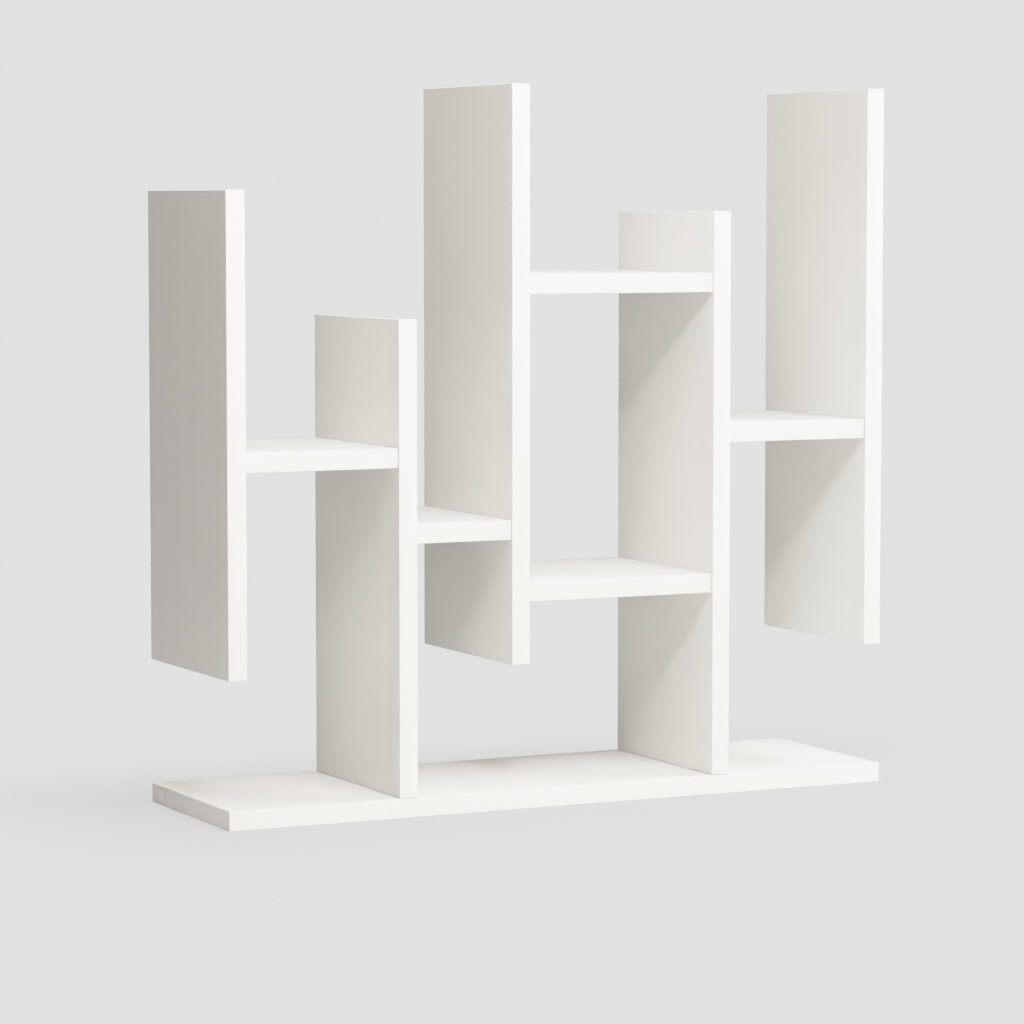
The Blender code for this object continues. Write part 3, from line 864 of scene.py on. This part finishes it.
def cam_face_shells(side):
    """The cast face of a cam: a ring plate with a cross-shaped opening, a raised rim and an arrow.

    The arrow points along X to the joint, where side is 1 or -1, and the cross stands at 45 degrees to it.
    Z goes out of the cap.
    """
    arm_end = math.atan(CROSS_HALF_WIDTH / CROSS_HALF_LENGTH)
    end_part = np.linspace(0, arm_end, ARM_END_POINTS)
    side_part = np.linspace(arm_end, math.pi / 4, ARM_SIDE_POINTS)[1:]
    octant = np.concatenate([end_part, side_part])
    quarter = np.concatenate([octant, math.pi / 2 - octant[::-1][1:-1]])
    turn = (np.arange(CROSS_ARMS)[:, None] * math.pi / 2 + quarter).ravel()
    opening = cross_radius(turn, CROSS_HALF_LENGTH, CROSS_HALF_WIDTH)
    rim = CAM_FACE_RADIUS - CAM_RIM_WIDTH
    rings = [
        (opening, -CAM_FACE_ROOT),
        (opening, CAM_FACE_HEIGHT - CROSS_MOUTH),
        (opening + CROSS_MOUTH, CAM_FACE_HEIGHT),
        (CROSS_HALF_LENGTH + 2 * CROSS_MOUTH, CAM_FACE_HEIGHT),
        (rim, CAM_FACE_HEIGHT),
        (rim + CAM_RIM_HEIGHT - CAM_FACE_HEIGHT, CAM_RIM_HEIGHT),
        (CAM_FACE_RADIUS - CAM_RIM_HEIGHT + CAM_FACE_HEIGHT, CAM_RIM_HEIGHT),
        (CAM_FACE_RADIUS, CAM_FACE_HEIGHT),
        (CAM_FACE_RADIUS, -CAM_FACE_ROOT),
    ]
    plate = turned_shell(rings, turn + math.pi / 4, wrap_rings=True)
    outline = np.array([(ARROW_TIP, 0), (ARROW_BACK, ARROW_HALF_WIDTH), (ARROW_BACK, -ARROW_HALF_WIDTH)])
    middle = outline.mean(axis=0)
    layers = ((1.0, 0.0), (1.0, ARROW_HEIGHT - ARROW_SLOPE), (ARROW_TOP_SHARE, ARROW_HEIGHT))
    arrow = np.empty((len(layers), len(outline), 3))
    for layer, (share, level) in zip(arrow, layers):
        layer[:, :2] = (middle + (outline - middle) * share) * (side, 1)
        layer[:, 2] = level
    return [plate, swept_shell(arrow)]


def carried(shells, direction, origin):
    """Shells made about Z, carried to an axis through the origin that points in this direction."""
    turn = np.array(Vector((0, 0, 1)).rotation_difference(Vector(direction)).to_matrix())
    return [(points @ turn.T + np.array(origin), quads, caps) for points, quads, caps in shells]


def shelf_end(name):
    """The end of the shelf that a cam or a bolt is at: -1 for the left and 1 for the right."""
    return -1 if name.endswith("_left") else 1


def add_cam_face(name, zinc):
    """The cast face on a cam's cap, which looks down out of the shelf. The cam's own solid stays."""
    finish_node(name, zinc)
    low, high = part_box(name)
    middle = (low + high) / 2
    downwards = np.array((1, 1, -1))
    place = np.array((middle.x, middle.y, low.z))
    shells = [
        (points * downwards + place, quads, caps)
        for points, quads, caps in cam_face_shells(shelf_end(name))
    ]
    add_piece(f"{name}_face", shells, zinc)


def add_bolt(name, steel):
    """A threaded bolt in place of the plain one. Its thread goes into the upright."""
    low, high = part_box(name)
    middle = (low + high) / 2
    side = shelf_end(name)
    face = low.x + BOLT_TIP if side < 0 else high.x - BOLT_TIP
    shells = carried(bolt_shells(high.x - low.x), (side, 0, 0), (face, middle.y, middle.z))
    piece = add_piece(f"{name}_threaded", shells, steel)
    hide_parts(name)


def add_screw(name, steel):
    """A threaded screw in place of the plain one. It goes up through the base into the upright."""
    low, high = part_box(name)
    middle = (low + high) / 2
    shells = carried(screw_shells(), (0, 0, 1), (middle.x, middle.y, low.z))
    piece = add_piece(f"{name}_threaded", shells, steel)
    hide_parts(name)


def add_dowel(name, direction, beech):
    """A fluted dowel in place of the plain one."""
    low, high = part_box(name)
    middle = (low + high) / 2
    shells = carried(dowel_shells(), direction, middle)
    piece = add_piece(f"{name}_fluted", shells, beech)
    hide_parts(name)


def add_fittings():
    """The fittings' detailed pieces. The dowel in an upright's foot stands up, and the others lie across."""
    zinc, steel = zinc_material(), plated_steel_material()
    beech_across, beech_up = beech_material("beech_across", False), beech_material("beech_up", True)
    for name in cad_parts:
        if "_cam_" in name:
            add_cam_face(name, zinc)
        elif "_bolt_" in name:
            add_bolt(name, steel)
        elif "_screw_" in name:
            add_screw(name, steel)
        elif name.endswith("_dowel"):
            add_dowel(name, (0, 0, 1), beech_up)
        elif "_dowel_" in name:
            add_dowel(name, (1, 0, 0), beech_across)


# Stage, light and camera

# A round floor just below the base, which climbs a cove to a low wall
FLOOR_LEVEL = -0.0001
FLOOR_RADIUS = 4.6
COVE_RADIUS = 1.2
COVE_STEPS = 16
WALL_TOP = 1.9
STAGE_AROUND = 192

# The hole under the base, a little inside its outline. Round it the floor's rings turn into a circle of
# ROUND_RADIUS by these shares, and larger circles follow.
HOLE_INSET = 0.0009
ROUND_RADIUS = 0.7
ROUND_SHARES = (0.0, 0.15, 0.4, 1.0)
FLOOR_RADII = (1.2, 2.0, 3.0, FLOOR_RADIUS)

# The plain backdrop, the floor as it throws light back and as the camera sees it, the share of its light
# that the floor's dark clouds keep, and the floor's roughness, gloss and fine relief
BACKDROP_WHITE = (0.80, 0.80, 0.794)
FLOOR_WHITE = (0.84, 0.84, 0.835)
FLOOR_SEEN = (0.50, 0.50, 0.497)
FLOOR_CLOUD = (0.98, 0.98, 0.98)
FLOOR_ROUGHNESS = (0.75, 0.85)
FLOOR_SPECULAR = 0.2
FLOOR_RELIEF = 0.00004

# The floor fades into the backdrop between these distances from the base's outline. The first is below
# zero, so that it's about two thirds faded at the outline already.
FADE_SPAN = (-0.45, 0.30)


def stage_surface():
    """The floor, its cove and the wall, turned about Z from growing rings.

    The first rings are the outline of the hole under the base, blended into a circle. Past the flat floor
    the rings climb a quarter circle and then the wall.
    """
    low, high = (np.array(corner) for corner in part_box("base_board"))
    half = (high - low)[:2] / 2 - HOLE_INSET
    corner = math.atan2(half[1], half[0])
    corners = [corner, math.pi - corner, math.pi + corner, 2 * math.pi - corner]
    around = np.sort(np.concatenate([angles(STAGE_AROUND), corners]))
    across = np.maximum(np.abs(np.stack([np.cos(around), np.sin(around)], 1)), TINY)
    hole = np.min(half / across, axis=1)
    rings = [(hole * (1 - share) + ROUND_RADIUS * share, FLOOR_LEVEL) for share in ROUND_SHARES]
    rings += [(radius, FLOOR_LEVEL) for radius in FLOOR_RADII]
    for turn in np.linspace(0, math.pi / 2, COVE_STEPS + 1)[1:]:
        height = FLOOR_LEVEL + COVE_RADIUS * (1 - math.cos(turn))
        rings.append((FLOOR_RADIUS + COVE_RADIUS * math.sin(turn), height))
    rings.append((FLOOR_RADIUS + COVE_RADIUS, FLOOR_LEVEL + WALL_TOP))
    return turned_shell(rings, around)


def floor_material():
    """Pale matt floor that fades into the plain backdrop away from the base.

    Only the camera sees it fade, and sees it darker than it throws light back, so that the white boards
    stand out. From below it is clear, so that the underside can be looked at.
    """
    material, tree, shader = new_material("pale_floor")
    place = object_place(tree)
    cloud = noise(tree, place, (3, 3, 3), 3, 0.6)
    fine = noise(tree, place, (700, 700, 700), 2)
    seen = tree.nodes.new("ShaderNodeLightPath").outputs["Is Camera Ray"]
    pale = blend(tree, seen, FLOOR_WHITE, FLOOR_SEEN)
    darker = vector_calc(tree, "MULTIPLY", pale, FLOOR_CLOUD)
    feed(tree, shader.inputs["Base Color"], blend(tree, ramp(tree, cloud, *NOISE_SPAN), pale, darker))
    feed(tree, shader.inputs["Roughness"], ramp(tree, fine, *NOISE_SPAN, *FLOOR_ROUGHNESS))
    shader.inputs["Specular IOR Level"].default_value = FLOOR_SPECULAR
    bump(tree, shader, fine, FLOOR_RELIEF)
    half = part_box("base_board")[1]
    # No height is above WALL_TOP, so only the distance along the floor counts
    beyond = vector_calc(tree, "SUBTRACT", vector_calc(tree, "ABSOLUTE", place), (half.x, half.y, WALL_TOP))
    apart = vector_calc(tree, "LENGTH", vector_calc(tree, "MAXIMUM", beyond, (0, 0, 0)))
    fade = calc(tree, "MULTIPLY", seen, ramp(tree, apart, *FADE_SPAN))
    white = tree.nodes.new("ShaderNodeEmission")
    white.inputs["Color"].default_value = (*BACKDROP_WHITE, 1)
    clear = tree.nodes.new("ShaderNodeBsdfTransparent")
    surface = shader.outputs[0]
    backfacing = tree.nodes.new("ShaderNodeNewGeometry").outputs["Backfacing"]
    for share, other in ((fade, white), (backfacing, clear)):
        choice = tree.nodes.new("ShaderNodeMixShader")
        feed(tree, choice.inputs[0], share)
        feed(tree, choice.inputs[1], surface)
        feed(tree, choice.inputs[2], other.outputs[0])
        surface = choice.outputs[0]
    feed(tree, tree.nodes["Material Output"].inputs["Surface"], surface)
    return material


def add_stage():
    """The floor. Its faces look up and inwards, and it's open at the hole and above the wall."""
    points, quads, _ = stage_surface()
    mesh = bpy.data.meshes.new("floor")
    mesh.from_pydata(points.tolist(), [], quads.tolist())
    mesh.update()
    mesh.shade_smooth()
    mesh.materials.append(floor_material())
    floor = bpy.data.objects.new("floor", mesh)
    bpy.context.scene.collection.objects.link(floor)


LOOK_AT = (0.0, 0.0, 0.30)

# name: place, width, height, power in watts, colour. All point at LOOK_AT.
LIGHTS = {
    "key": ((-0.35, -0.97, 1.04), 0.12, 0.10, 4.5, (0.98, 0.99, 1.00)),
    "left_high_fill": ((-0.55, -0.50, 1.10), 0.50, 0.50, 2.7, (1.00, 0.90, 0.81)),
    "right_high_fill": ((0.90, -0.30, 1.00), 0.50, 0.50, 8.9, (1.00, 1.00, 0.97)),
    "right_low_fill": ((0.95, -0.35, 0.20), 0.50, 0.30, 1.3, (0.91, 1.00, 0.92)),
    "front_low_fill": ((0.0, -1.20, 0.18), 1.00, 0.30, 1.4, (1.00, 0.94, 0.63)),
    "front_fill": ((0.0, -2.20, 2.60), 2.00, 1.40, 60.6, (1.00, 0.99, 0.96)),
}

# The room's glow: the direction of each soft lobe of light, and its radiance. The second reaches only
# the underside, through the floor's hole.
ROOM_GLOW = (
    ((0.0, 1.0, 0.0), (2.00, 1.82, 1.72)),
    ((0.0, 0.0, -1.0), (0.75, 0.78, 0.80)),
)


def room_world():
    """The room's light: for each lobe, its radiance times the squared cosine of the angle from its axis.

    The camera sees the plain backdrop instead, where it looks past the floor's edge or up through it.
    """
    world = bpy.data.worlds.new("soft_room")
    world.use_nodes = True
    tree = world.node_tree
    direction = tree.nodes.new("ShaderNodeTexCoord").outputs["Generated"]
    total = None
    for axis, radiance in ROOM_GLOW:
        cosine = vector_calc(tree, "DOT_PRODUCT", direction, axis)
        facing = calc(tree, "POWER", calc(tree, "MAXIMUM", cosine, 0.0), 2.0)
        lobe = vector_calc(tree, "MULTIPLY", facing, radiance)
        total = lobe if total is None else vector_calc(tree, "ADD", total, lobe)
    glow = tree.nodes["Background"]
    feed(tree, glow.inputs["Color"], total)
    backdrop = tree.nodes.new("ShaderNodeBackground")
    backdrop.inputs["Color"].default_value = (*BACKDROP_WHITE, 1)
    choice = tree.nodes.new("ShaderNodeMixShader")
    feed(tree, choice.inputs[0], tree.nodes.new("ShaderNodeLightPath").outputs["Is Camera Ray"])
    feed(tree, choice.inputs[1], glow.outputs[0])
    feed(tree, choice.inputs[2], backdrop.outputs[0])
    feed(tree, tree.nodes["World Output"].inputs["Surface"], choice.outputs[0])
    return world


def add_lights():
    """Soft panels that the camera doesn't see, and the room's glow."""
    for name, (place, width, height, power, colour) in LIGHTS.items():
        lamp = bpy.data.lights.new(name, "AREA")
        lamp.shape = "RECTANGLE"
        lamp.size = width
        lamp.size_y = height
        lamp.energy = power
        lamp.color = colour
        light = bpy.data.objects.new(name, lamp)
        light.location = place
        light.rotation_euler = (Vector(LOOK_AT) - Vector(place)).to_track_quat("-Z", "Y").to_euler()
        light.visible_camera = False
        bpy.context.scene.collection.objects.link(light)
    bpy.context.scene.world = room_world()


# The photograph's camera: where it stands, and how far it is turned to the right of +Y and down, in
# radians. Any sensor width gives the same picture, because the focal length goes with it. Nothing nearer
# than CLIP_START shows.
CAMERA_PLACE = (-1.41752, -2.85299, 0.49341)
CAMERA_TURN = 0.4585
CAMERA_DIP = 0.0805
FOCAL_PIXELS = 3808.96
PICTURE_PIXELS = 1024
SENSOR_WIDTH = 36.0
CLIP_START = 0.05

# The picture keeps light as it is up to this share of white, and eases what is brighter, up to this many
# times white, towards white. From SHOULDER_START on, the curve's points lie further and further apart:
# their distances from SHOULDER_START - SPREAD_OFFSET grow by one factor.
SHOULDER_START = 0.6
BRIGHTEST = 2.6
SHOULDER_POINTS = 12
SPREAD_OFFSET = 0.1


def add_camera():
    """The photograph's view."""
    lens = bpy.data.cameras.new("camera")
    lens.sensor_width = SENSOR_WIDTH
    lens.lens = FOCAL_PIXELS / PICTURE_PIXELS * SENSOR_WIDTH
    lens.clip_start = CLIP_START
    camera = bpy.data.objects.new("camera", lens)
    camera.location = CAMERA_PLACE
    camera.rotation_euler = (math.pi / 2 - CAMERA_DIP, 0, -CAMERA_TURN)
    bpy.context.scene.collection.objects.link(camera)
    bpy.context.scene.camera = camera


def soften_highlights():
    """A photograph's soft shoulder, as a curve of the view.

    Past its start s, light x becomes s + (1 - s) * (1 - exp(-(x - s) / (1 - s))).
    """
    view = bpy.context.scene.view_settings
    view.view_transform = "Standard"
    view.use_curve_mapping = True
    mapping = view.curve_mapping
    mapping.clip_max_x = BRIGHTEST
    # The last of the four curves works on all colours together
    curve = mapping.curves[-1]
    spread = np.geomspace(SPREAD_OFFSET, BRIGHTEST - SHOULDER_START + SPREAD_OFFSET, SHOULDER_POINTS)
    over = spread - SPREAD_OFFSET
    shown = SHOULDER_START + (1 - SHOULDER_START) * (1 - np.exp(-over / (1 - SHOULDER_START)))
    curve.points[1].location = (SHOULDER_START, SHOULDER_START)
    for light, value in zip(SHOULDER_START + over[1:], shown[1:]):
        curve.points.new(light, value)
    for point in curve.points:
        point.handle_type = "VECTOR"
    mapping.update()


finish_boards()
add_edge_bands()
add_fittings()
add_stage()
add_lights()
add_camera()
soften_highlights()
